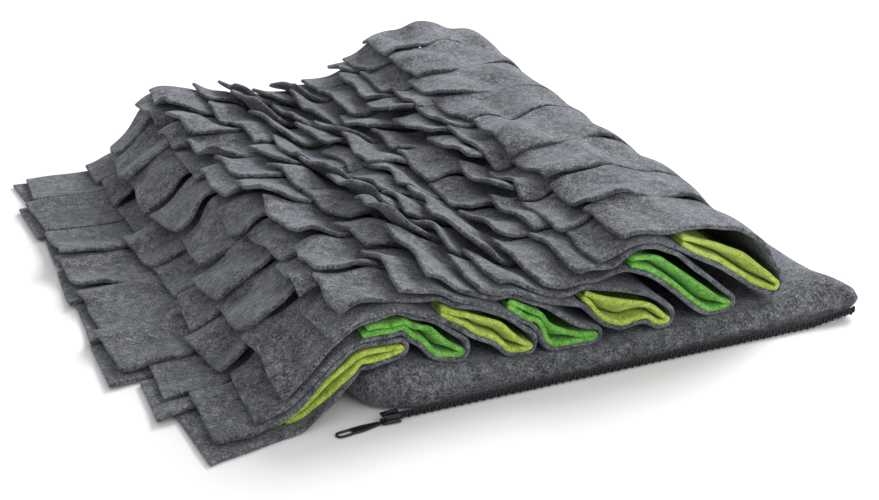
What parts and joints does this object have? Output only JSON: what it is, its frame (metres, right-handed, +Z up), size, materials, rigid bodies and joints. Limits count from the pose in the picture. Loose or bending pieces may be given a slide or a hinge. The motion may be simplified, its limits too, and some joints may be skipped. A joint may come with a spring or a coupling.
{
  "type": "snuffle mat",
  "caption": "Foraging mat for dogs: a thin zipped fleece pad with rows of folded, slit fleece strips that lie over one side, coloured strips inside.",
  "frame": {"origin": "under the middle of the pad, on the surface that the mat lies on", "axes": "+Z up; the rows run along Y with the zip at -Y; the folds of the rows face +X and the loose tabs lie over to -X, the first ones on the floor beside the pad"},
  "size_m": [0.4682, 0.4688, 0.0976],
  "materials": {
    "grey_fleece": "heathered dark grey fleece, matte, short nap",
    "lime_fleece": "lime fleece, matte, short nap",
    "green_fleece": "bright green fleece, matte, short nap",
    "black_zip": "black woven zip tape with coil teeth",
    "black_metal": "black lacquered zip slider and pull, satin"
  },
  "bodies": {
    "root": {"pad": "grey_fleece", "row_1_outer": "grey_fleece", "row_1_inner": "lime_fleece", "row_2_outer": "grey_fleece", "row_2_inner": "green_fleece", "row_3_outer": "grey_fleece", "row_3_inner": "lime_fleece", "row_4_outer": "grey_fleece", "row_4_inner": "green_fleece", "row_5_outer": "grey_fleece", "row_5_inner": "lime_fleece", "row_6_outer": "grey_fleece", "row_6_inner": "green_fleece", "row_7_outer": "grey_fleece", "row_7_inner": "lime_fleece", "zip_chain": "black_zip", "zip_slider": "black_metal", "zip_pull": "black_metal"}
  },
  "joints": []
}
